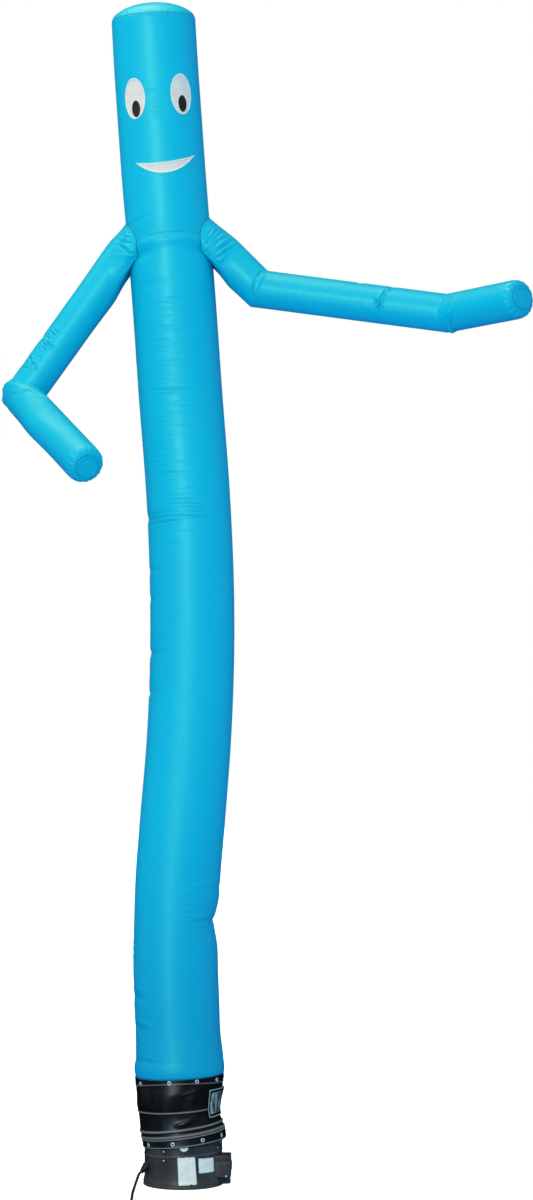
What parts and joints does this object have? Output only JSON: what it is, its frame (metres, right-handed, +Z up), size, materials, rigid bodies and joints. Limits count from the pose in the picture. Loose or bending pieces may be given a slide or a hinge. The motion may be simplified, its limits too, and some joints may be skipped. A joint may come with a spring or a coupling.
{
  "type": "inflatable air dancer",
  "caption": "Tall blown-up cloth tube figure with two bent arms and a plain smiling face, standing on a round floor blower with a mains lead.",
  "frame": {"origin": "middle of the blower's round base, on the floor", "axes": "+Z up along the figure's height, the face looks along -Y, the figure's outstretched arm reaches along +X"},
  "size_m": [2.7073, 1.1465, 6.1219],
  "materials": {
    "blue_cloth": "light coated ripstop nylon with a soft sheen",
    "white_cloth": "white nylon patch, satin",
    "black_cloth": "black nylon patch, satin",
    "black_vinyl": "vinyl-coated cloth, glossy",
    "eyelet_steel": "pressed and plated",
    "black_plastic": "moulded, fine texture",
    "black_rubber": "semi-matte",
    "pin_brass": "bright"
  },
  "bodies": {
    "root": {"torso": "blue_cloth", "head": "blue_cloth", "head_top": "blue_cloth", "left_arm": "blue_cloth", "right_arm": "blue_cloth", "left_arm_end": "blue_cloth", "right_arm_end": "blue_cloth", "left_eye": "white_cloth", "right_eye": "white_cloth", "smile": "white_cloth", "left_pupil": "black_cloth", "right_pupil": "black_cloth", "collar": "black_vinyl", "top_strap": "black_vinyl", "bottom_strap": "black_vinyl", "collar_pocket": "black_vinyl", "blower_base": "black_plastic", "blower_lower_housing": "black_plastic", "blower_upper_housing": "black_plastic", "switch_box": "black_plastic", "cord_gland": "black_rubber", "cord": "black_rubber", "cord_coil": "black_rubber", "plug": "black_rubber", "plug_pin_1": "pin_brass", "plug_pin_2": "pin_brass", "top_eyelet_1": "eyelet_steel", "top_eyelet_2": "eyelet_steel", "top_eyelet_3": "eyelet_steel", "top_eyelet_4": "eyelet_steel", "top_eyelet_5": "eyelet_steel", "top_eyelet_6": "eyelet_steel", "top_eyelet_7": "eyelet_steel", "top_eyelet_8": "eyelet_steel", "top_eyelet_9": "eyelet_steel", "bottom_eyelet_1": "eyelet_steel", "bottom_eyelet_2": "eyelet_steel", "bottom_eyelet_3": "eyelet_steel", "bottom_eyelet_4": "eyelet_steel", "bottom_eyelet_5": "eyelet_steel", "bottom_eyelet_6": "eyelet_steel", "bottom_eyelet_7": "eyelet_steel", "bottom_eyelet_8": "eyelet_steel", "bottom_eyelet_9": "eyelet_steel"}
  },
  "joints": []
}
